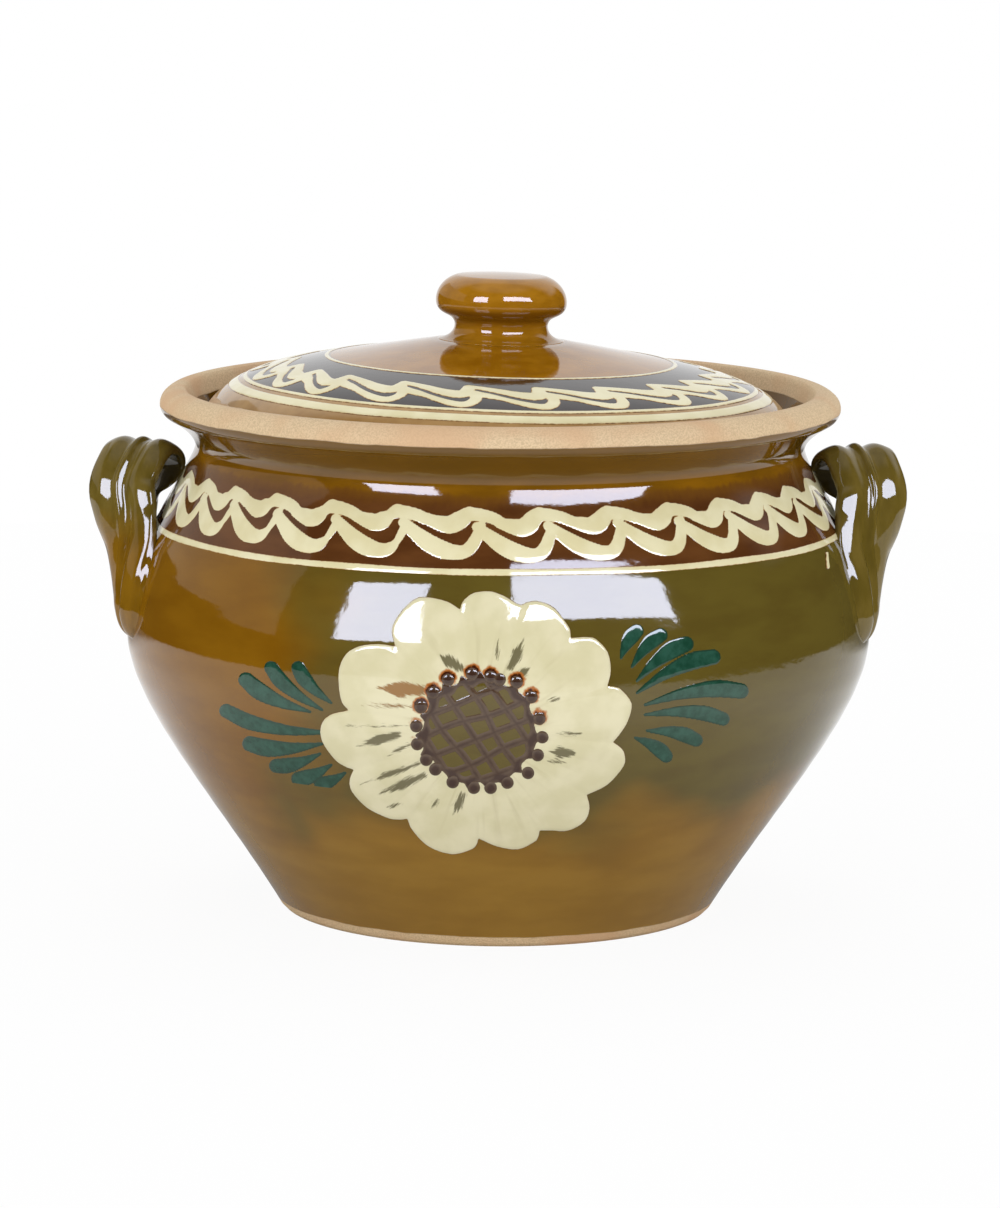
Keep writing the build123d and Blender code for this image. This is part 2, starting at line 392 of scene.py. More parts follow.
def pot_colour(tree, place):
    """The pot's glaze colour by place."""
    x = add(tree, "SeparateXYZ", {0: place}, output="X")
    z = x.node.outputs["Z"]
    cloud = add(tree, "TexNoise", {"Vector": place, "Scale": 1 / 42, "Detail": 2.0, "Distortion": 0.3})
    drift = add(tree, "MapRange", {0: cloud, 1: 0.25, 2: 0.75, 3: -13.0, 4: 13.0})
    across = add(tree, "Math", {0: x, 1: drift}, operation="ADD")
    up = add(tree, "Math", {0: z, 1: drift}, operation="ADD")
    olive_across = add(tree, "MapRange", {0: across, 1: -78.0, 2: -38.0}, interpolation_type="SMOOTHSTEP")
    olive_up = add(tree, "MapRange", {0: up, 1: 28.0, 2: 56.0}, interpolation_type="SMOOTHSTEP")
    olive = add(tree, "Math", {0: olive_across, 1: olive_up}, operation="MULTIPLY")
    turning = add(tree, "Mapping", {"Vector": place, "Scale": (1, 1, 3)})
    wiped = add(tree, "TexNoise", {"Vector": turning, "Scale": 1 / 24, "Detail": 4.0, "Roughness": 0.5})
    brush = add(tree, "MapRange", {0: wiped, 1: 0.3, 2: 0.7}, interpolation_type="SMOOTHSTEP")
    amber = add(tree, "Mix", {0: brush, 6: linear("#734C07"), 7: linear("#7D550B")}, output=2, data_type="RGBA")
    green = add(tree, "Mix", {0: brush, 6: linear("#56481A"), 7: linear("#5D501E")}, output=2, data_type="RGBA")
    colour = add(tree, "Mix", {0: olive, 6: amber, 7: green}, output=2, data_type="RGBA")
    low = add(tree, "MapRange", {0: up, 1: 58.0, 2: 26.0}, interpolation_type="SMOOTHSTEP")
    honey = add(tree, "Mix", {0: brush, 6: linear("#835F15"), 7: linear("#8C681D")}, output=2, data_type="RGBA")
    colour = add(tree, "Mix", {0: low, 6: colour, 7: honey}, output=2, data_type="RGBA")
    neck = add(tree, "Mix", {0: brush, 6: linear("#6A4608"), 7: linear("#84580A")}, output=2, data_type="RGBA")
    # Painted shadow under the rim: the neck darkens toward the rim's overhang
    shadow = add(tree, "MapRange", {0: z, 1: 148.5, 2: 153.0, 4: 0.8}, interpolation_type="SMOOTHSTEP")
    neck = add(tree, "Mix", {0: shadow, 6: neck, 7: linear("#5C4004")}, output=2, data_type="RGBA")
    above = add(tree, "MapRange", {0: z, 1: band_bottom - 0.2, 2: band_bottom + 0.2})
    colour = add(tree, "Mix", {0: above, 6: colour, 7: neck}, output=2, data_type="RGBA")
    running = add(tree, "Mapping", {"Vector": place, "Scale": (1, 1, 0.25)})
    streaks = add(tree, "TexNoise", {"Vector": running, "Scale": 1 / 2.0, "Detail": 3.0})
    swell = add(tree, "TexNoise", {"Vector": place, "Scale": 1 / 11, "Detail": 2.0})
    bleed = add(tree, "MapRange", {0: streaks, 1: 0.2, 2: 0.8, 3: -0.8, 4: 0.8})
    bleed = add(tree, "Math", {0: swell, 1: 2.6, 2: bleed}, operation="MULTIPLY_ADD")
    ragged = add(tree, "Math", {0: z, 1: bleed}, operation="ADD")
    under = add(tree, "MapRange", {0: ragged, 1: band_top + 2.6, 2: band_top + 0.8}, interpolation_type="SMOOTHSTEP")
    band = add(tree, "Math", {0: above, 1: under}, operation="MULTIPLY")
    thick = add(tree, "MapRange", {0: ragged, 1: band_top + 2.0, 2: band_top - 3.0}, interpolation_type="SMOOTHSTEP")
    slip = add(tree, "Mix", {0: brush, 6: linear("#4E2C12"), 7: linear("#623C1C")}, output=2, data_type="RGBA")
    slip = add(tree, "Mix", {0: thick, 6: linear("#6A4414"), 7: slip}, output=2, data_type="RGBA")
    return add(tree, "Mix", {0: band, 6: colour, 7: slip}, output=2, data_type="RGBA")


def pot_bare(tree, place):
    """Where the pot's rim and foot were wiped clean."""
    z = add(tree, "SeparateXYZ", {0: place}, output="Z")
    waver = add(tree, "TexNoise", {"Vector": place, "Scale": 1 / 16, "Detail": 3.0})
    z = add(tree, "Math", {0: waver, 1: 1.4, 2: z}, operation="MULTIPLY_ADD")
    foot = add(tree, "MapRange", {0: z, 1: bare_foot_height + 0.9, 2: bare_foot_height + 0.5})
    rim = add(tree, "MapRange", {0: z, 1: bare_rim_height + 0.3, 2: bare_rim_height + 0.7})
    return add(tree, "Math", {0: foot, 1: rim}, operation="MAXIMUM")


pot_glaze = glazed("honey_glazed_earthenware", pot_colour, pot_bare)

# %% [markdown]
# ## Pot body
# The body is the CAD profile turned in 320 steps, fine enough that the mirror
# reflections on the belly stay smooth. It replaces the CAD body in the pictures,
# because it carries the throwing rings.

# %% Throw the pot body
turn_steps = 320


def uneven(places):
    """Moves places of the true pot out or in by the wall's unevenness."""
    reach = np.hypot(places[:, 0], places[:, 1])
    azimuth = np.arctan2(places[:, 0], -places[:, 1])
    push = 1 + unevenness(azimuth, places[:, 2]) * np.clip(reach, 0, 1) / np.maximum(reach, 1)
    places[:, :2] *= push[:, None]
    return places


finished(moved(thrown(pot_profile, turn_steps), uneven), "pot", pot_glaze, "pot", ["pot_body"])

# %% [markdown]
# ## Lid
# The lid is a second thrown piece. Rings of dark and tan slip were banded on it on
# the turning wheel, so its colours follow the radius. Its outer edge is wiped bare.

# %% Lid glaze
lid_band_inner, lid_band_outer = 55.2, 81.8
lid_bare_radius = 92.0


def lid_colour(tree, place):
    """The lid's glaze colour by its distance from the axis."""
    flat = add(tree, "VectorMath", {0: place, 1: (1, 1, 0)}, operation="MULTIPLY")
    reach = add(tree, "VectorMath", {0: flat}, output="Value", operation="LENGTH")
    sway = add(tree, "TexNoise", {"Vector": place, "Scale": 1 / 45})
    reach = add(tree, "Math", {0: sway, 1: 1.6, 2: reach}, operation="MULTIPLY_ADD")
    wiped = add(tree, "TexNoise", {"Vector": place, "Scale": 1 / 9, "Detail": 4.0})
    brush = add(tree, "MapRange", {0: wiped, 1: 0.3, 2: 0.7}, interpolation_type="SMOOTHSTEP")
    honey = add(tree, "Mix", {0: brush, 6: linear("#8A5908"), 7: linear("#9C6A12")}, output=2, data_type="RGBA")
    dark = add(tree, "Mix", {0: brush, 6: linear("#1E1716"), 7: linear("#2A2020")}, output=2, data_type="RGBA")
    tan = add(tree, "Mix", {0: brush, 6: linear("#94703C"), 7: linear("#A6824C")}, output=2, data_type="RGBA")
    inner = add(tree, "MapRange", {0: reach, 1: lid_band_inner + 0.4, 2: lid_band_inner + 1.2})
    outer = add(tree, "MapRange", {0: reach, 1: lid_band_outer + 0.5, 2: lid_band_outer + 1.1})
    colour = add(tree, "Mix", {0: inner, 6: honey, 7: dark}, output=2, data_type="RGBA")
    return add(tree, "Mix", {0: outer, 6: colour, 7: tan}, output=2, data_type="RGBA")


def lid_bare(tree, place):
    """Where the lid's edge was wiped clean."""
    flat = add(tree, "VectorMath", {0: place, 1: (1, 1, 0)}, operation="MULTIPLY")
    reach = add(tree, "VectorMath", {0: flat}, output="Value", operation="LENGTH")
    waver = add(tree, "TexNoise", {"Vector": place, "Scale": 1 / 9})
    reach = add(tree, "Math", {0: waver, 1: 2.0, 2: reach}, operation="MULTIPLY_ADD")
    return add(tree, "MapRange", {0: reach, 1: lid_bare_radius + 0.7, 2: lid_bare_radius + 1.3})


lid_glaze = glazed("banded_lid_glaze", lid_colour, lid_bare)

# %% Throw the lid
foot_inner = lid_foot_radius - lid_bearing
lid_profile = (
    [(0, dome_height)] + eased((2, dome_height), (knob_foot_radius, dome_height), 4) + dome_curve
    + [(lid_foot_radius, gallery_height + lid_bevel), (lid_foot_radius - lid_bevel, gallery_height)]
    + [(foot_inner, gallery_height)]
    + swung((foot_inner, gallery_height + lid_bevel), (knob_foot_radius, dome_height - lid_wall),
            [(0.14, 0.40), (0.20, 0.58)], 30)
    + eased((knob_foot_radius, dome_height - lid_wall), (0, dome_height - lid_wall), 5)
    + [(0, dome_height - lid_wall)]
)
finished(moved(thrown(lid_profile, 256), leaned), "lid", lid_glaze, "lid", ["lid_shell"])

# %% [markdown]
# ## Knob
# The knob is thrown on the lid: a flared foot, a waist for the fingers and a round
# bulge with a low crown, all in clear honey glaze.

# %% Throw the knob
knob_neck = (15.0, dome_height + 4.8)
knob_bulge = (21.1, dome_height + 12.5)
knob_brow = (14.5, dome_height + 13.6 + 0.92 * (21.3 - 13.6))
knob_top = (0, dome_height + 21.3)


def knob_colour(tree, place):
    """Clear honey glaze over clay, with painted shade in the waist under the bulge."""
    turning = add(tree, "Mapping", {"Vector": place, "Scale": (1, 1, 2.5)})
    wiped = add(tree, "TexNoise", {"Vector": turning, "Scale": 1 / 7, "Detail": 4.0})
    brush = add(tree, "MapRange", {0: wiped, 1: 0.3, 2: 0.7}, interpolation_type="SMOOTHSTEP")
    honey = add(tree, "Mix", {0: brush, 6: linear("#92620C"), 7: linear("#A06E16")}, output=2, data_type="RGBA")
    z = add(tree, "SeparateXYZ", {0: place}, output="Z")
    waist = add(tree, "MapRange", {0: z, 1: dome_height + 4.0, 2: dome_height + 8.0}, interpolation_type="SMOOTHSTEP")
    # Painted shade: the waist under the bulge is darkened to deep amber
    under = add(tree, "MapRange", {0: z, 1: dome_height + 12.6, 2: dome_height + 10.0, 4: 0.8}, interpolation_type="SMOOTHSTEP")
    shade_under_bulge = add(tree, "Math", {0: waist, 1: under}, operation="MULTIPLY")
    return add(tree, "Mix", {0: shade_under_bulge, 6: honey, 7: linear("#5C3604")}, output=2, data_type="RGBA")


knob_glaze = glazed("honey_knob_glaze", knob_colour)
knob_profile = (
    [(0, dome_height), (knob_foot_radius, dome_height)]
    + swung((knob_foot_radius, dome_height), knob_neck, [(0.55, 0.10), (1.00, 0.45)], 14)[1:]
    + swung(knob_neck, knob_bulge, [(0.05, 0.55), (1.00, 0.30)], 18)
    + swung(knob_bulge, knob_brow, [(0.00, 0.40), (0.34, 0.84)], 20)
    + swung(knob_brow, knob_top, [(0.33, 0.67), (0.67, 1.00)], 10)
    + [knob_top]
)
finished(moved(thrown(knob_profile, 128), leaned), "knob", knob_glaze, "lid", ["lid_knob"])

# %% [markdown]
# ## Handles
# Each handle is a strap pulled from wet clay, with two broad lobes and a ridge that
# the potter's fingers leave. It springs from the shoulder, curls forward over a
# loop for two fingers and is pressed down on the belly. A sheet of mesh is bent
# into a tube along the strap's course, and where the strap lies on the belly its
# flanks run out into the wall, as smeared clay does.

# %% Bend the straps
strap_width, strap_thickness, strap_reach = 25.0, 6.8, 21.5
strap_turn, strap_upper, strap_lower = 57.0, -3.4, 10.6
# The two straps of a hand-made pot differ: less reach, more turn and a closer tail, by side
strap_trims = {-1: (3.0, 0.0, 1.2), 1: (4.2, 7.0, 2.4)}
strap_crest = neck_height + 1.5 - strap_thickness / 2
strap_tail = belly_height + 3.0
# Rows: turn, height, reach, seat, forward turn, width, thickness, pressed on
strap_course = [
    (-0.04, 0.34, -0.30, 1.0, 0.00, 0.90, 0.60, 0.0),
    (-0.02, 0.48, 0.00, 0.6, 0.00, 1.06, 0.62, 0.0),
    (0.00, 0.66, 0.10, 1.0, 0.06, 1.08, 0.62, 0.0),
    (0.04, 0.83, 0.30, 1.0, 0.36, 1.04, 0.64, 0.0),
    (0.18, 0.95, 0.50, 1.0, 0.86, 1.00, 0.76, 0.0),
    (0.44, 1.00, 0.73, 1.0, 1.00, 1.00, 0.94, 0.0),
    (0.59, 0.94, 0.83, 1.0, 0.97, 1.00, 0.96, 0.0),
    (0.72, 0.81, 0.80, 1.0, 0.91, 1.00, 0.97, 0.0),
    (0.82, 0.66, 0.52, 1.0, 0.79, 1.01, 1.00, 0.0),
    (0.90, 0.50, 0.24, 1.0, 0.52, 1.03, 1.02, 0.1),
    (0.96, 0.34, 0.09, 1.0, 0.22, 1.04, 1.02, 0.5),
    (0.99, 0.19, 0.01, 0.8, 0.05, 1.03, 1.05, 0.9),
    (1.00, 0.09, 0.00, 0.6, 0.00, 1.00, 1.00, 1.0),
    (1.00, 0.01, 0.00, 0.2, 0.00, 0.94, 0.80, 1.0),
    (1.00, -0.05, 0.00, -0.9, 0.00, 0.84, 0.56, 1.0),
    (1.00, -0.09, 0.00, -2.4, 0.00, 0.66, 0.40, 1.0),
]
# Half sections from the middle of the face to the middle of the back, in shares of
# half the width and of the thickness: free in the air, and pressed on the wall
free_section = [(0, 0.62), (0.20, 0.38), (0.55, 0.56), (0.90, 0.32), (1.0, 0.06), (0.90, -0.22), (0.48, -0.16), (0, -0.10)]
pressed_section = [(0, 0.62), (0.20, 0.38), (0.55, 0.54), (0.86, 0.22), (1.04, -0.20), (1.28, -0.62), (0.60, -0.90), (0, -0.95)]
# How much painted shade each point of the section takes: dark on the strap's back, which faces the wall
back_shares = [0.0, 0.0, 0.0, 0.0, 0.0, 0.8, 1.0, 1.0]


def closed_ring(half, flip):
    """A smooth closed ring of rows from its half, the other half mirrored by the flip factors."""
    loop = np.vstack([half, half[1:-1][::-1] * flip])
    return smooth_line(np.vstack([loop[-3:], loop, loop[:4]]), 5)[15:15 + 5 * len(loop)]


def make_strap(side):
    """The strap on one side, 1 for the right and -1 for the left."""
    rows = smooth_line(strap_course, 7)
    turn, height, reach, seat, forward, width, thickness, pressed = rows.T
    height = strap_tail + (strap_crest - strap_tail) * height
    azimuth = np.radians(strap_upper + (strap_lower - strap_upper) * turn)
    short, turned, settled = strap_trims[side]
    radius = pot_radius(height) + (strap_reach - short) * reach + seat * strap_thickness / 2
    radius -= settled * np.clip((turn - 0.55) / 0.35, 0, 1)
    course = np.stack([radius * np.cos(azimuth), -radius * np.sin(azimuth), height], -1)
    facing = azimuth + np.radians(strap_turn + turned) * forward
    along = np.gradient(course, axis=0)
    along /= np.linalg.norm(along, axis=1)[:, None]
    way = np.stack([np.sin(facing), np.cos(facing), 0 * facing], -1)
    way -= along * (way * along).sum(1)[:, None]
    way /= np.linalg.norm(way, axis=1)[:, None]
    up = np.cross(along, way)
    free = closed_ring(np.column_stack([free_section, back_shares]), (-1, 1, 1))
    flat = closed_ring(np.column_stack([pressed_section, back_shares]), (-1, 1, 1))
    # The upper root, where the strap rises from the shoulder, takes the painted shade all round
    root = np.clip(0.85 - turn / 0.18, 0, 1) * (height > strap_tail + 0.5 * (strap_crest - strap_tail))
    blend = np.clip(pressed, 0, 1)[:, None, None]
    rings = free * (1 - blend) + flat * blend
    places = (
        course[:, None]
        + way[:, None] * (rings[..., 0] * (width * strap_width / 2)[:, None])[..., None]
        + up[:, None] * (rings[..., 1] * (thickness * strap_thickness)[:, None])[..., None]
    ) * (side, 1, 1)
    ends = [places[0].mean(0), places[-1].mean(0)]
    around, lengthways = rings.shape[1], len(rows)
    bm = bmesh.new()
    bmesh.ops.create_grid(bm, x_segments=around, y_segments=lengthways + 1, size=0.5)
    hollow_shade = bm.verts.layers.float.new("hollow_shade")
    for vert in bm.verts:
        column = round((vert.co.x + 0.5) * around) % around
        row = round((vert.co.y + 0.5) * (lengthways + 1)) - 1
        inside = 0 <= row < lengthways
        vert[hollow_shade] = max(rings[row, column, 2], root[row]) if inside else 1.0
        vert.co = places[row, column] if inside else ends[0 if row < 0 else 1]
    bmesh.ops.remove_doubles(bm, verts=bm.verts, dist=0.001)
    bmesh.ops.recalc_face_normals(bm, faces=bm.faces)
    return bm


def handle_colour(tree, place):
    """Olive glaze, amber on the left handle's lower end, with painted shade on the strap's back and upper root."""
    x = add(tree, "SeparateXYZ", {0: place}, output="X")
    z = x.node.outputs["Z"]
    running = add(tree, "Mapping", {"Vector": place, "Scale": (1, 1, 0.35)})
    wiped = add(tree, "TexNoise", {"Vector": running, "Scale": 1 / 5, "Detail": 4.0})
    brush = add(tree, "MapRange", {0: wiped, 1: 0.3, 2: 0.7}, interpolation_type="SMOOTHSTEP")
    olive = add(tree, "Mix", {0: brush, 6: linear("#5C4D1A"), 7: linear("#6C5B26")}, output=2, data_type="RGBA")
    amber = add(tree, "Mix", {0: brush, 6: linear("#6A4A08"), 7: linear("#7E5A10")}, output=2, data_type="RGBA")
    patch = add(tree, "TexNoise", {"Vector": place, "Scale": 1 / 12, "Detail": 3.0})
    ragged = add(tree, "Math", {0: patch, 1: 16.0, 2: z}, operation="MULTIPLY_ADD")
    low = add(tree, "MapRange", {0: ragged, 1: 142.0, 2: 126.0}, interpolation_type="SMOOTHSTEP")
    left = add(tree, "MapRange", {0: x, 1: 0.0, 2: -50.0})
    share = add(tree, "Math", {0: low, 1: left}, operation="MULTIPLY")
    colour = add(tree, "Mix", {0: share, 6: olive, 7: amber}, output=2, data_type="RGBA")
    # Painted shade: the strap's back and upper root are darkened to olive brown
    hollow_shade = add(tree, "Attribute", {}, output="Fac", attribute_name="hollow_shade")
    shade = add(tree, "MapRange", {0: hollow_shade, 1: 0.3, 2: 0.9}, interpolation_type="SMOOTHSTEP")
    return add(tree, "Mix", {0: shade, 6: colour, 7: linear("#463A18")}, output=2, data_type="RGBA")


handle_glaze = glazed("olive_handle_glaze", handle_colour)
finished(make_strap(1), "handle_right", handle_glaze, "pot", ["right_handle"])
finished(make_strap(-1), "handle_left", handle_glaze, "pot", ["left_handle"])

# %% [markdown]
# ## Trailed slip
# Slip trailed from a small horn stands proud of the wall by under half a
# millimetre, with rounded edges and rounded ends. Every painted shape here is such
# a thin sheet. It starts as a grid laid over its part of the wall. A field says for
# each point how many millimetres it lies inside the painted shape, and lifts it
# along a rounded edge profile. Points outside sink just under the wall and their
# faces are taken away, so the edge that shows is where the sheet dips into the
# wall. The field stays on the sheet as an attribute, because the glaze burns the
# slip brown where it is thin, along every edge.

# %% Helpers for sheets of slip
def trail(field, across, up, line):
    """Raises a field of distances inside the slip by a trailed line of places and half widths."""
    for (x, y, width), (next_x, next_y, next_width) in zip(line, line[1:]):
        way_x, way_y = next_x - x, next_y - y
        reach = hypot(way_x, way_y) / 2 + max(width, next_width) + 2
        near = (np.abs(across - x - way_x / 2) < reach) & (np.abs(up - y - way_y / 2) < reach)
        out, rise = across[near] - x, up[near] - y
        t = np.clip((out * way_x + rise * way_y) / max(way_x ** 2 + way_y ** 2, 1e-9), 0, 1)
        inside = width + (next_width - width) * t - np.hypot(out - way_x * t, rise - way_y * t)
        field[near] = np.maximum(field[near], inside)
    return field


def within(across, up, outline):
    """How far places lie inside a closed outline. Outside it, the distance is negative."""
    nearest, odd = np.full(across.shape, 99.0), np.zeros(across.shape, bool)
    for (x, y), (next_x, next_y) in zip(outline, np.roll(outline, -1, axis=0)):
        way_x, way_y = next_x - x, next_y - y
        out, rise = across - x, up - y
        t = np.clip((out * way_x + rise * way_y) / max(way_x ** 2 + way_y ** 2, 1e-9), 0, 1)
        nearest = np.minimum(nearest, np.hypot(out - way_x * t, rise - way_y * t))
        if next_y != y:
            odd ^= ((up > y) != (up > next_y)) & (out < rise * way_x / way_y)
    return np.where(odd, nearest, -nearest)


def slip_sheet(surface, columns, rows, inside, thickness, shoulder, values=None, roundness=0.5):
    """A bmesh of slip over columns and rows of a surface, raised by a field of mm inside its edge."""
    t = np.clip(inside / shoulder, 0, 1)
    lift = np.where(inside > 0, thickness * (1 - (1 - t) ** 2) ** roundness, np.maximum(inside, -0.5) * 0.6)
    places = surface(columns[None, :], rows[:, None], lift).tolist()
    across, up = len(columns) - 1, len(rows) - 1
    bm = bmesh.new()
    bmesh.ops.create_grid(bm, x_segments=across, y_segments=up, size=0.5)
    fields = {"inside": inside, **(values or {})}
    layers = [(bm.verts.layers.float.new(name), field.tolist()) for name, field in fields.items()]
    for vert in bm.verts:
        column, row = round((vert.co.x + 0.5) * across), round((vert.co.y + 0.5) * up)
        vert.co = places[row][column]
        for layer, field in layers:
            vert[layer] = field[row][column]
    depth = layers[0][0]
    outside = [face for face in bm.faces if max(vert[depth] for vert in face.verts) < -0.3]
    bmesh.ops.delete(bm, geom=outside, context="FACES")
    bmesh.ops.remove_doubles(bm, verts=bm.verts, dist=0.01)
    bmesh.ops.recalc_face_normals(bm, faces=bm.faces)
    return bm


def seen(places):
    """Where the camera sees places in mm, in pixels of the 1000 by 1208 picture."""
    turned = (places - np.array(camera_place)) @ np.array(camera_turn.to_3x3())
    scale = focal_pixels / -turned[..., 2]
    return picture_width / 2 + turned[..., 0] * scale, picture_height / 2 - turned[..., 1] * scale


picture_scale = 3.29

# %% [markdown]
# ## Cream slip
# The lines, waves and petals are white slip. Under the honey glaze it shows as
# cream, with a thin burnt line along its edge and a breath of tan where it is thin.

# %% Cream slip glaze
def cream_colour(tree, place, fatness=1.0, creams=("#D6CDA2", "#DFD8B2")):
    """Cream slip that burns to tan and brown along its thin edges, less where it is fat."""
    inside = add(tree, "Attribute", {}, output="Fac", attribute_name="inside")
    flow = add(tree, "TexNoise", {"Vector": place, "Scale": 1 / 1.3, "Detail": 2.0})
    depth = add(tree, "MapRange", {0: flow, 1: 0.3, 2: 0.7, 3: -0.08, 4: 0.08})
    depth = add(tree, "Math", {0: inside, 1: fatness, 2: depth}, operation="MULTIPLY_ADD")
    cloud = add(tree, "TexNoise", {"Vector": place, "Scale": 1 / 11, "Detail": 3.0})
    thick = add(tree, "MapRange", {0: cloud, 1: 0.35, 2: 0.65}, interpolation_type="SMOOTHSTEP")
    cream = add(tree, "Mix", {0: thick, 6: linear(creams[0]), 7: linear(creams[1])}, output=2, data_type="RGBA")
    tan = add(tree, "MapRange", {0: depth, 1: 0.06, 2: 0.34}, interpolation_type="SMOOTHSTEP")
    colour = add(tree, "Mix", {0: tan, 6: linear("#A67C48"), 7: cream}, output=2, data_type="RGBA")
    burnt = add(tree, "MapRange", {0: depth, 1: 0.0, 2: 0.12}, interpolation_type="SMOOTHSTEP")
    return add(tree, "Mix", {0: burnt, 6: linear("#4A2C16"), 7: colour}, output=2, data_type="RGBA")


cream_glaze = glazed("cream_slip_under_glaze", cream_colour)

# %% [markdown]
# ## Double wave and line on the shoulder
# The potter trailed an upper wave along the dark band, then a second line that
# leaves each crest, sags below the first and climbs to meet its next crest. No two
# waves are the same length, so the front ones are listed by the azimuth of their
# crests, and even ones run on round the back.

# %% Trail the shoulder waves and line
front_crests = [-65.2, -54.6, -42.9, -30.5, -18.0, -5.2, 6.8, 19.0, 30.6, 41.8, 52.5, 62.5]
back_waves = 20
crests = front_crests + [
    62.5 + (294.8 - 62.5) * number / back_waves for number in range(1, back_waves + 1)
]
# Rows: share of the way to the next crest, height and half width of the slip
upper_wave = [(0.00, 142.0, 2.4), (0.16, 141.7, 2.2), (0.32, 141.0, 2.1), (0.49, 139.5, 2.1), (0.62, 138.8, 2.6),
              (0.74, 138.4, 3.0), (0.84, 139.2, 3.2), (0.93, 140.9, 2.8), (1.00, 142.0, 2.4)]
lower_wave = [(0.12, 138.6, 1.7), (0.20, 137.4, 2.0), (0.32, 135.6, 2.4), (0.49, 133.2, 2.9), (0.67, 131.4, 3.0),
              (0.84, 130.6, 2.6), (0.97, 130.9, 2.3), (1.06, 132.6, 2.2), (1.12, 135.2, 2.0), (1.17, 138.4, 1.6)]
band_radius, wall_slant = 105.0, 1.12

columns = np.radians(np.linspace(-180, 180, 1621))
rows = np.arange(126.8, 145.8, 0.42)
across, up = np.meshgrid(columns * band_radius, rows * wall_slant)
field = np.full(across.shape, -9.0)
for number, (crest, following) in enumerate(zip(crests, crests[1:])):
    for wave in (upper_wave, lower_wave):
        line = smooth_line(wave, 4)
        line[:, 1] += 0.35 * sin(number * 2.1) * (line[:, 1] < 140)
        if following < -17:
            line[:, 2] -= 0.9 * np.clip(1 - np.abs(line[:, 0] - wave[-1][0] + 0.09) / 0.09, 0, 1)
        line[:, 1] *= wall_slant
        for turn in (0, -360):
            start, end = crest + turn, following + turn
            if end > -195 and start < 195:
                azimuths = np.radians(start + (end - start) * line[:, 0])
                trail(field, across, up, np.column_stack([azimuths * band_radius, line[:, 1:]]))
bm = slip_sheet(on_pot, columns, rows, field, 0.09, 3.0, roundness=1.0)
finished(bm, "shoulder_wave", cream_glaze, "pot")

columns = np.radians(np.linspace(-180, 180, 721))
rows = np.linspace(123.7, 127.0, 12)
middle = 125.35 + 0.10 * np.sin(3 * columns + 1) + 0.07 * np.sin(11 * columns)
field = 1.15 + 0.06 * np.sin(17 * columns + 2)[None, :] - np.abs(rows[:, None] - middle[None, :]) * wall_slant
bm = slip_sheet(on_pot, columns, rows, field, 0.10, 1.1, roundness=1.0)
finished(bm, "shoulder_line", cream_glaze, "pot")

# %% Trail the rings and waves on the lid
lid_crests = [-76.0, -61.0, -46.3, -27.1, -8.7, 9.7, 27.1, 45.5, 61.0, 78.0]
lid_crests += [78.0 + (284.0 - 78.0) * number / 11 for number in range(1, 12)]
# Rows: share of the way to the next crest, radius and half width of the slip
lid_upper_wave = [(0.00, 66.2, 1.8), (0.20, 67.0, 1.6), (0.45, 69.0, 2.0), (0.66, 71.1, 2.4), (0.85, 72.4, 2.9),
                  (0.96, 72.2, 3.0), (1.01, 70.4, 2.8), (1.01, 68.0, 2.2), (1.00, 66.2, 1.8)]
lid_lower_wave = [(0.12, 70.9, 1.7), (0.22, 72.3, 2.0), (0.33, 73.2, 1.9), (0.51, 75.0, 1.4), (0.68, 77.1, 1.5),
                  (0.84, 78.8, 1.7), (0.97, 79.6, 1.8), (1.07, 79.2, 1.9), (1.14, 77.2, 1.9), (1.16, 74.6, 1.9),
                  (1.12, 71.9, 2.1)]
wave_radius = 70.0

columns = np.radians(np.linspace(-180, 180, 1021))
rows = np.arange(61.5, 82.6, 0.40)
across, up = np.meshgrid(columns * wave_radius, rows)
field = np.full(across.shape, -9.0)
for number, (crest, following) in enumerate(zip(lid_crests, lid_crests[1:])):
    for wave in (lid_upper_wave, lid_lower_wave):
        line = smooth_line(wave, 4)
        for turn in (0, -360):
            start, end = crest + turn, following + turn
            if end > -195 and start < 195:
                azimuths = np.radians(start + (end - start) * line[:, 0])
                trail(field, across, up, np.column_stack([azimuths * wave_radius, line[:, 1:]]))
bm = slip_sheet(on_lid, columns, rows, field, 0.30, 1.1)
finished(bm, "lid_wave", cream_glaze, "lid")

columns = np.radians(np.linspace(-180, 180, 541))
for number, (inner, outer) in enumerate([(55.4, 56.9), (81.7, 83.3), (84.5, 87.9)]):
    rows = np.linspace(inner - 0.6, outer + 0.6, 12)
    middle = (inner + outer) / 2 + 0.15 * np.sin(2 * columns + number) + 0.08 * np.sin(9 * columns)
    field = (outer - inner) / 2 - np.abs(rows[:, None] - middle[None, :])
    bm = slip_sheet(on_lid, columns, rows, field, 0.25, 0.8)
    finished(bm, f"lid_ring_{number}", cream_glaze, "lid")

# %% [markdown]
# ## Flower
# The sunflower has twelve petals with a sharp notch between each two. Its outline
# is drawn petal by petal, in pixels of the picture: each point of the grid on the
# wall is looked up in the picture, so every shape lands where the photograph has
# it. The petals stop at a ragged ring round the seed head, and soft creases run in
# from the notches.

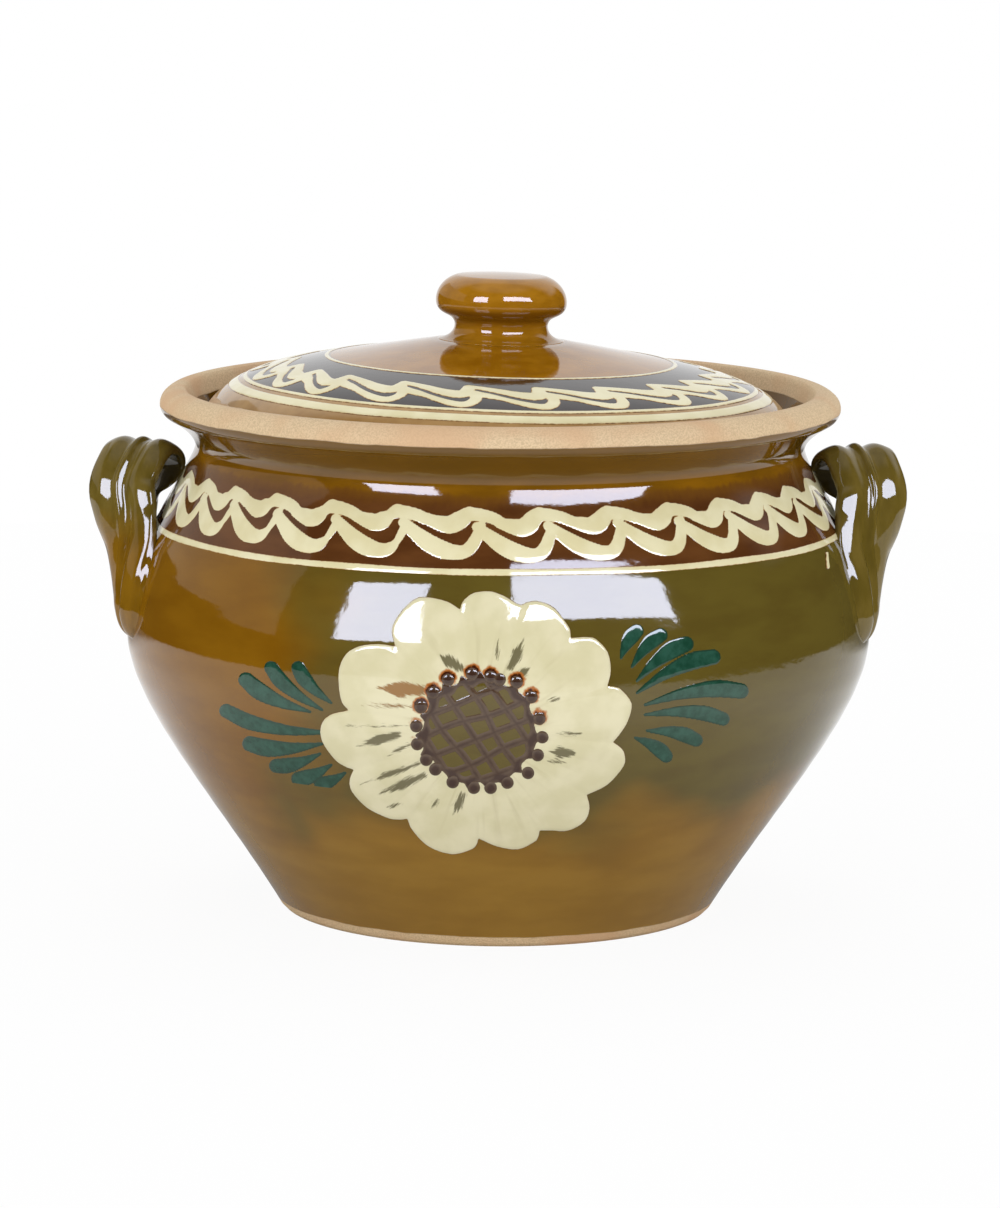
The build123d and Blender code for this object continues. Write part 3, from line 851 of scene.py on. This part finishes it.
# %% Lay the petals
# Points of each petal's edge in turn, the last of each row being the notch after it
petals = [
    [(395, 646), (391.8, 628.9), (401, 611.7), (414.8, 599), (427.4, 597.2), (447, 601.3), (460, 609.4)],
    [(463, 601), (473, 593), (488.3, 591), (500, 594), (507.8, 597.9), (516, 603), (521.6, 605)],
    [(528, 602), (538.8, 601.3), (553, 607), (564, 619.7), (570, 629), (571, 638)],
    [(575.5, 637.5), (587, 637), (596, 639), (607.7, 651.8), (611, 670), (607.7, 686.3)],
    [(615, 687), (621.4, 689.7), (631.8, 703.5), (628.3, 720.7), (621, 733), (613.4, 742.5)],
    [(621, 748), (624.9, 755.2), (623.7, 766.6), (607.7, 785), (587, 795.3)],
    [(589.7, 808), (584.7, 821.7), (568.6, 830.9), (550.3, 830.9), (539.9, 830.9)],
    [(538, 838), (534.2, 842.4), (518.1, 849.7), (497.4, 847), (478.6, 838.9)],
    [(476, 846), (469.9, 850.4), (451.5, 854.6), (428.6, 847), (412.5, 830.9), (407.2, 819.4)],
    [(398, 820), (387.2, 818.3), (366.6, 808), (351.7, 791.9), (349.4, 780.4), (353.3, 770)],
    [(345, 767), (334.4, 759.7), (321.8, 741.4), (321, 725.3), (329.8, 715), (348.2, 710.4)],
    [(342, 703), (339, 690.9), (338.6, 670.2), (345.9, 654), (359.7, 646), (378, 644), (394, 646)],
]
head = (479, 731)

notches = [petal[-1] for petal in petals]
outline = np.vstack([
    smooth_line([notches[number - 1], *petal], 4)[:-1] for number, petal in enumerate(petals)
])
columns = np.radians(np.linspace(-29.5, 23.0, 240))
rows = np.arange(32.5, 121.0, 0.45)
across, up = seen(on_pot(columns[None, :], rows[:, None], 0.2))
from_head = np.hypot(across - head[0], up - head[1])
bearing = np.arctan2(up - head[1], across - head[0])
inner_edge = from_head * (1 - 0.93 / np.maximum(np.hypot((across - head[0]) / 58, (up - head[1]) / 54), 0.01))
field = np.minimum(within(across, up, outline), inner_edge) / picture_scale

crease = np.full(across.shape, -9.0)
for x, y in notches:
    inner = (head[0] + (x - head[0]) * 0.52, head[1] + (y - head[1]) * 0.52)
    trail(crease, across, up, [(x, y, 7.0), (*inner, 2.0)])
crease = np.clip(crease / 6.0, 0, 1)
swell = 0.5 + 0.5 * np.cos(bearing * 12 - 0.9)

# Rows: start and end of a brush stroke of thin glaze, and its half width
strokes = [
    (437.8, 654, 460.7, 668, 5.0), (497.4, 640, 497.4, 659, 2.2), (524, 638, 510, 668, 4.6),
    (529.6, 668, 517, 677, 4.0), (375.8, 688, 421.7, 690, 6.4), (362, 704.6, 413.6, 707, 2.4),
    (338, 726.5, 406.8, 725.3, 1.5), (357.4, 745, 398.7, 734.5, 4.6), (388, 755, 410, 744, 2.6),
    (361, 784, 419, 763, 3.2), (378, 794, 424, 774.7, 4.2), (384, 807, 402, 803, 2.0),
    (432, 808, 438, 799, 2.6), (453, 815, 463, 794, 4.0), (547, 701, 558, 698, 2.4),
    (556, 733, 580, 733, 2.4), (549, 751, 571, 753, 5.0), (547, 761, 566, 762, 1.8),
]
brushed = np.full(across.shape, -9.0)
for x, y, end_x, end_y, width in strokes:
    middle = ((x + end_x) / 2, (y + end_y) / 2, width * 1.6)
    trail(brushed, across, up, [(x, y, 1.5), middle, (end_x, end_y, width * 1.1)])

# Dots of manganese round the head, each with how strongly its edge burnt orange
dots = [
    (448.1, 679.8, 1.0), (433.2, 692.7, 1.0), (421, 706.9, 1.0), (416.4, 725.8, 0.5), (417.5, 743.7, 0.5),
    (426.3, 759.3, 0.2), (435.5, 768.9, 0), (452.7, 781.6, 0), (473.8, 787.3, 0), (490.6, 787.3, 0.2),
    (507.3, 782.2, 0.2), (528, 772.4, 0.2), (537.6, 754.7, 0.3), (542.2, 736.8, 0.1), (539.2, 718.4, 0.8),
    (531.4, 697, 0.9), (516.5, 682.1, 1.0), (490.6, 677, 1.0), (472.2, 674.1, 1.0), (499.7, 679.4, 0.2),
]
burn = np.zeros(across.shape)
for x, y, strength in dots:
    burn = np.maximum(burn, strength * np.clip(1.95 - np.hypot(across - x, up - y + 2.2) / 6.0, 0, 1))

thickness = 0.42 * (1 - 0.35 * crease) + 0.10 * swell * np.clip(from_head / 140, 0, 1)
values = {"brushed": brushed / 4, "burn": burn, "bearing": bearing, "from_head": from_head}
bm = slip_sheet(on_pot, columns, rows, field, thickness, 1.5, values)


def petal_colour(tree, place):
    """Cream petals with soft shading, thin brush strokes and burnt dots."""
    cream = cream_colour(tree, place, 2.5, ("#CDC6A0", "#D7D0AE"))
    bearing = add(tree, "Attribute", {}, output="Fac", attribute_name="bearing")
    from_head = add(tree, "Attribute", {}, output="Fac", attribute_name="from_head")
    turned = add(tree, "Math", {0: bearing, 1: 26.0}, operation="MULTIPLY")
    outward = add(tree, "Math", {0: from_head, 1: 0.035}, operation="MULTIPLY")
    petal_place = add(tree, "CombineXYZ", {0: turned, 1: outward})
    hairs = add(tree, "TexNoise", {"Vector": petal_place, "Scale": 1.6, "Detail": 5.0, "Roughness": 0.7})
    wash = add(tree, "TexNoise", {"Vector": petal_place, "Scale": 0.35, "Detail": 2.0})
    near = add(tree, "MapRange", {0: from_head, 1: 135.0, 2: 60.0, 4: 0.5}, interpolation_type="SMOOTHSTEP")
    soft = add(tree, "MapRange", {0: wash, 1: 0.50, 2: 0.75}, interpolation_type="SMOOTHSTEP")
    shade = add(tree, "Math", {0: soft, 1: near}, operation="MULTIPLY")
    colour = add(tree, "Mix", {0: shade, 6: cream, 7: linear("#B3A882")}, output=2, data_type="RGBA")
    brushed = add(tree, "Attribute", {}, output="Fac", attribute_name="brushed")
    bristles = add(tree, "MapRange", {0: hairs, 1: 0.3, 2: 0.7, 3: -1.0, 4: 0.4})
    stroke = add(tree, "Math", {0: brushed, 1: bristles}, operation="ADD")
    stroke = add(tree, "MapRange", {0: stroke, 1: -0.1, 2: 0.6, 4: 0.9}, interpolation_type="SMOOTHSTEP")
    place_up = add(tree, "SeparateXYZ", {0: place}, output="Z")
    place_across = place_up.node.outputs["X"]
    warm_up = add(tree, "MapRange", {0: place_up, 1: 82.0, 2: 86.0})
    warm_across = add(tree, "MapRange", {0: place_across, 1: -19.0, 2: -24.0})
    warm = add(tree, "Math", {0: warm_up, 1: warm_across}, operation="MULTIPLY")
    paint = add(tree, "Mix", {0: warm, 6: linear("#5A5336"), 7: linear("#86560A")}, output=2, data_type="RGBA")
    colour = add(tree, "Mix", {0: stroke, 6: colour, 7: paint}, output=2, data_type="RGBA")
    burn = add(tree, "Attribute", {}, output="Fac", attribute_name="burn")
    sparks = add(tree, "TexNoise", {"Vector": place, "Scale": 1 / 1.4, "Detail": 3.0})
    frayed = add(tree, "MapRange", {0: sparks, 1: 0.3, 2: 0.7, 3: -0.16, 4: 0.16})
    burn = add(tree, "Math", {0: burn, 1: frayed}, operation="ADD")
    glow = add(tree, "MapRange", {0: burn, 1: 0.30, 2: 0.70}, interpolation_type="SMOOTHSTEP")
    scorch = add(tree, "MapRange", {0: burn, 1: 0.65, 2: 0.95}, interpolation_type="SMOOTHSTEP")
    colour = add(tree, "Mix", {0: glow, 6: colour, 7: linear("#A8642C")}, output=2, data_type="RGBA")
    return add(tree, "Mix", {0: scorch, 6: colour, 7: linear("#3A1808")}, output=2, data_type="RGBA")


finished(bm, "petals", glazed("petal_slip_under_glaze", petal_colour), "pot")

# %% [markdown]
# ## Seed head
# Inside the petals the wall shows olive. Manganese slip draws a lattice of thin
# lines over it, a ragged ring round it and a bead on each of twenty places on the
# ring.

# %% Trail the seed head
columns = np.radians(np.linspace(-14.5, 9.5, 170))
rows = np.arange(54.0, 99.0, 0.30)
across, up = seen(on_pot(columns[None, :], rows[:, None], 0.2))
from_head = np.hypot((across - head[0]) / 58, (up - head[1]) / 54)
bearing = np.arctan2(up - head[1], across - head[0])
spikes = 0.11 * np.abs(np.sin(9.5 * bearing + 0.6)) ** 5 + 0.03 * np.sin(7 * bearing)
ring = np.minimum(0.99 + spikes - from_head, from_head - 0.85 - 0.04 * np.sin(13 * bearing + 2)) * 56 / picture_scale

lattice = np.full(across.shape, -9.0)
for way, spacing, count in ((57.0, 21.0, 3), (-21.0, 20.0, 3)):
    run = np.array([cos(radians(way)), sin(radians(way))])
    side = np.array([-run[1], run[0]])
    for number in range(-count, count + 1):
        middle = np.array(head) + side * (number + 0.35) * spacing
        bow = side * 2.5 * sin(number * 1.7)
        ends = [middle - run * 62, middle - run * 20 + bow, middle + run * 20 - bow, middle + run * 62]
        line = smooth_line([(*end, 3.6) for end in ends], 5)
        trail(lattice, across, up, line)
lattice = np.minimum(lattice / picture_scale, (0.95 - from_head) * 56 / picture_scale)
bead = np.full(across.shape, -9.0)
for x, y, _ in dots:
    bead = np.maximum(bead, 7.1 - np.hypot(across - x, up - y))
bead /= picture_scale


def manganese_colour(tree, place):
    """Manganese slip: dark purple brown, and brown where it is thin."""
    inside = add(tree, "Attribute", {}, output="Fac", attribute_name="inside")
    flow = add(tree, "TexNoise", {"Vector": place, "Scale": 1 / 2.2, "Detail": 3.0})
    depth = add(tree, "MapRange", {0: flow, 1: 0.3, 2: 0.7, 3: -0.2, 4: 0.2})
    depth = add(tree, "Math", {0: inside, 1: depth}, operation="ADD")
    thick = add(tree, "MapRange", {0: depth, 1: 0.3, 2: 1.5}, interpolation_type="SMOOTHSTEP")
    return add(tree, "Mix", {0: thick, 6: linear("#564434"), 7: linear("#3C281E")}, output=2, data_type="RGBA")


manganese_glaze = glazed("manganese_slip_under_glaze", manganese_colour)
on_petals = 0.16 + 0.42 * np.clip((from_head - 0.88) / 0.08, 0, 1)
bm = slip_sheet(on_pot, columns, rows, np.maximum(lattice, ring), on_petals, 0.7)
finished(bm, "seed_lattice", manganese_glaze, "pot")
bm = slip_sheet(on_pot, columns, rows, bead, 0.95, 1.9)
finished(bm, "seed_beads", manganese_glaze, "pot")

# %% [markdown]
# ## Leaves and specks
# Leaf strokes of copper green fan out on both sides of the flower. The brush was
# pressed down at the outer end and lifted as it came in, so each stroke narrows
# inwards. To the right, a few drops of cream slip fell from the line.

# %% Lay the leaf strokes
# Rows: wide outer end, narrow inner end and half width, in pixels of the picture
left_leaves = [
    (246, 680, 310, 712, 9), (271, 668, 322, 710, 8), (298, 668, 331, 703, 8), (226, 711, 333, 733, 8),
    (250, 744, 322, 744, 9), (276, 766, 320, 754, 8), (298, 779, 331, 765, 8), (320, 784, 345, 773, 7),
]
right_leaves = [
    (637, 631, 621, 658, 8), (661, 635, 632, 667, 8), (686, 644, 637, 681, 9), (713, 657, 637, 693, 9),
    (741, 691, 645, 705, 9), (723, 719, 645, 715, 8), (696, 740, 647, 731, 8), (666, 756, 635, 738, 8),
]


def leaf_colour(tree, place):
    """Copper green, darker along the stroke's edge and where the brush left more."""
    inside = add(tree, "Attribute", {}, output="Fac", attribute_name="inside")
    flow = add(tree, "TexNoise", {"Vector": place, "Scale": 1 / 3.5, "Detail": 4.0, "Roughness": 0.6})
    wash = add(tree, "MapRange", {0: flow, 1: 0.3, 2: 0.7}, interpolation_type="SMOOTHSTEP")
    green = add(tree, "Mix", {0: wash, 6: linear("#163C2C"), 7: linear("#2A5142")}, output=2, data_type="RGBA")
    edge = add(tree, "MapRange", {0: inside, 1: 0.15, 2: 0.8}, interpolation_type="SMOOTHSTEP")
    return add(tree, "Mix", {0: edge, 6: linear("#203A2A"), 7: green}, output=2, data_type="RGBA")


leaf_glaze = glazed("copper_green_leaves", leaf_colour)
for name, leaves, turns, heights in (
    ("leaves_left", left_leaves, (-51.0, -22.0), (55.0, 109.0)),
    ("leaves_right", right_leaves, (15.0, 44.0), (64.0, 119.0)),
):
    columns = np.radians(np.arange(*turns, 0.24))
    rows = np.arange(*heights, 0.45)
    across, up = seen(on_pot(columns[None, :], rows[:, None], 0.1))
    field = np.full(across.shape, -9.0)
    for x, y, end_x, end_y, width in leaves:
        bend = (-(end_y - y) * 0.06, (end_x - x) * 0.06)
        line = [(x, y, width * 0.9), (x * 0.75 + end_x * 0.25 + bend[0], y * 0.75 + end_y * 0.25 + bend[1], width),
                (x * 0.4 + end_x * 0.6 + bend[0], y * 0.4 + end_y * 0.6 + bend[1], width * 0.66), (end_x, end_y, 1.6)]
        trail(field, across, up, smooth_line(line, 5))
    bm = slip_sheet(on_pot, columns, rows, field / picture_scale, 0.09, 1.6)
    finished(bm, name, leaf_glaze, "pot")

columns = np.radians(np.arange(62.0, 82.0, 0.15))
rows = np.arange(112.0, 126.0, 0.28)
across, up = seen(on_pot(columns[None, :], rows[:, None], 0.1))
field = np.full(across.shape, -9.0)
for line in (
    [(827, 553, 1.4), (827.5, 561, 1.5), (828, 567, 1.9)], [(818.6, 571, 1.0), (818.4, 575, 1.2)],
    [(804.5, 585, 1.4), (803.3, 593, 1.9), (803, 597, 1.6)],
):
    trail(field, across, up, line)
bm = slip_sheet(on_pot, columns, rows, field / 2.2, 0.35, 0.6)
finished(bm, "cream_drops", cream_glaze, "pot")

# %% [markdown]
# ## Studio
# The picture was taken on a white table in front of a white wall, with two window
# lights to the left and right of the camera. The glaze mirrors all of it: the
# windows as two bright panes on the belly, the table as a pale veil on the lower
# half, and the dark room behind the camera as deep, clear colour in between. The
# window panes are only for reflections, and three lamps light the clay at a plain
# level.

# %% Floor, lamps and world
table_radius = 0.88


def stage_material(name):
    """An empty material of the stage with its tree."""
    material = bpy.data.materials.new(name)
    material.use_nodes = True
    material.node_tree.nodes.clear()
    return material, material.node_tree


table_material, tree = stage_material("white_table")
reach = add(tree, "VectorMath", {0: add(tree, "TexCoord", output="Object")}, output="Value", operation="LENGTH")
# Painted shadow in what the glaze mirrors: the table's glow is dark round the pot's foot and dimmed to both sides
# behind it
shaded = add(tree, "MapRange", {0: reach, 1: 0.075, 2: 0.26, 3: 0.30, 4: 1.0}, interpolation_type="SMOOTHSTEP")
seen_directly = add(tree, "LightPath", output="Is Camera Ray")
mirrored = add(tree, "LightPath", output="Is Glossy Ray")
glow_share = add(tree, "Math", {0: seen_directly, 1: 0.93, 2: mirrored}, operation="MULTIPLY_ADD")
across = add(tree, "SeparateXYZ", {0: reach.node.inputs[0].links[0].from_socket}, output="X")
aside = add(tree, "Math", {0: across}, operation="ABSOLUTE")
aside = add(tree, "MapRange", {0: aside, 1: 0.16, 2: 0.30, 4: 0.85}, interpolation_type="SMOOTHSTEP")
behind = add(tree, "MapRange", {0: across.node.outputs["Y"], 1: 0.35, 2: 0.55}, interpolation_type="SMOOTHSTEP")
dim = add(tree, "Math", {0: aside, 1: behind}, operation="MULTIPLY")
lit = add(tree, "Math", {0: 1.0, 1: dim}, operation="SUBTRACT")
shaded = add(tree, "Math", {0: shaded, 1: lit}, operation="MULTIPLY")
brightness = add(tree, "Math", {0: seen_directly, 1: shaded}, operation="MAXIMUM")
paper = add(tree, "BsdfDiffuse", {"Color": linear("#F4F4F4")})
white = add(tree, "Emission", {"Color": (1, 1, 1, 1), "Strength": brightness})
add(tree, "OutputMaterial", {"Surface": add(tree, "MixShader", {0: glow_share, 1: paper, 2: white})})
bm = bmesh.new()
bmesh.ops.create_circle(bm, cap_ends=True, radius=table_radius, segments=96)
table_mesh = bpy.data.meshes.new("table")
bm.to_mesh(table_mesh)
bm.free()
table_mesh.materials.append(table_material)
table = bpy.data.objects.new("table", table_mesh)
bpy.context.scene.collection.objects.link(table)

# Rows: azimuth each pane faces, its left and right end, its lower and upper edge in
# metres, its colour and its brightness
pane_distance = 1.9
panes = [
    ("left_window", -19.0, -1.17, -0.17, 0.62, 1.61, "#DFE5FA", 18.5),
    ("right_window", 15.5, -0.35, 1.74, 0.98, 1.90, "#DFE5FA", 18.5),
    ("pale_wall", -100.0, -2.4, 1.05, 0.45, 1.60, "#FFF6EA", 0.5),
]
for name, azimuth, left, right, low, high, colour, strength in panes:
    pane_material, tree = stage_material(name)
    glow = add(tree, "Emission", {"Color": linear(colour), "Strength": strength})
    add(tree, "OutputMaterial", {"Surface": glow})
    bm = bmesh.new()
    bmesh.ops.create_grid(bm, x_segments=1, y_segments=1, size=0.5)
    bmesh.ops.scale(bm, vec=(right - left, high - low, 1), verts=bm.verts)
    upright = Matrix.Translation(((left + right) / 2, -pane_distance, (low + high) / 2)) @ Matrix.Rotation(pi / 2, 4, "X")
    bmesh.ops.transform(bm, matrix=Matrix.Rotation(radians(azimuth), 4, "Z") @ upright, verts=bm.verts)
    pane_mesh = bpy.data.meshes.new(name)
    bm.to_mesh(pane_mesh)
    bm.free()
    pane_mesh.materials.append(pane_material)
    pane = bpy.data.objects.new(name, pane_mesh)
    pane.visible_camera = pane.visible_diffuse = pane.visible_shadow = False
    bpy.context.scene.collection.objects.link(pane)


def aimed(azimuth, elevation, distance):
    """A matrix at a place around the pot that looks back at its belly."""
    turn, rise = radians(azimuth), radians(elevation)
    way = Vector((sin(turn) * cos(rise), -cos(turn) * cos(rise), sin(rise)))
    return Matrix.Translation(Vector((0, 0, 0.1)) + way * distance) @ way.to_track_quat("Z", "Y").to_matrix().to_4x4()


lamps = [(-50.0, 8.0, 19.0), (42.0, 8.0, 19.0), (180.0, 60.0, 10.0)]
for number, (azimuth, elevation, power) in enumerate(lamps):
    lamp_data = bpy.data.lights.new(f"soft_lamp_{number}", "AREA")
    lamp_data.shape = "DISK"
    lamp_data.size = 1.4
    lamp_data.energy = power
    lamp = bpy.data.objects.new(f"soft_lamp_{number}", lamp_data)
    lamp.matrix_world = aimed(azimuth, elevation, 2.4)
    lamp.visible_glossy = False
    bpy.context.scene.collection.objects.link(lamp)

world = bpy.data.worlds.new("white_studio")
bpy.context.scene.world = world
world.use_nodes = True
tree = world.node_tree
tree.nodes.clear()
way = add(tree, "TexCoord", output="Generated")
right = add(tree, "SeparateXYZ", {0: way}, output="X")
back, top = right.node.outputs["Y"], right.node.outputs["Z"]
aside = add(tree, "Math", {0: right}, operation="ABSOLUTE")
paper_width = add(tree, "MapRange", {0: aside, 1: 0.56, 2: 0.44}, interpolation_type="SMOOTHSTEP")
paper_rise = add(tree, "MapRange", {0: back, 1: 0.1, 2: 0.5}, interpolation_type="SMOOTHSTEP")
paper_top = add(tree, "MapRange", {0: top, 1: 0.32, 2: 0.50}, interpolation_type="SMOOTHSTEP")
paper_reach = add(tree, "Math", {0: paper_width, 1: paper_top}, operation="MAXIMUM")
backdrop = add(tree, "Math", {0: paper_reach, 1: paper_rise}, operation="MULTIPLY")
ceiling = add(tree, "MapRange", {0: top, 1: 0.78, 2: 0.95, 4: 0.5}, interpolation_type="SMOOTHSTEP")
pale = add(tree, "Math", {0: backdrop, 1: ceiling}, operation="MAXIMUM")
colour = add(tree, "Mix", {0: pale, 6: (0.012, 0.012, 0.012, 1), 7: (1, 1, 1, 1)}, output=2, data_type="RGBA")
lighting = add(tree, "LightPath", output="Is Diffuse Ray")
colour = add(tree, "Mix", {0: lighting, 6: colour, 7: (0.78, 0.78, 0.79, 1)}, output=2, data_type="RGBA")
in_view = add(tree, "LightPath", output="Is Camera Ray")
colour = add(tree, "Mix", {0: in_view, 6: colour, 7: (1, 1, 1, 1)}, output=2, data_type="RGBA")
add(tree, "OutputWorld", {"Surface": add(tree, "Background", {"Color": colour, "Strength": 1.0})})
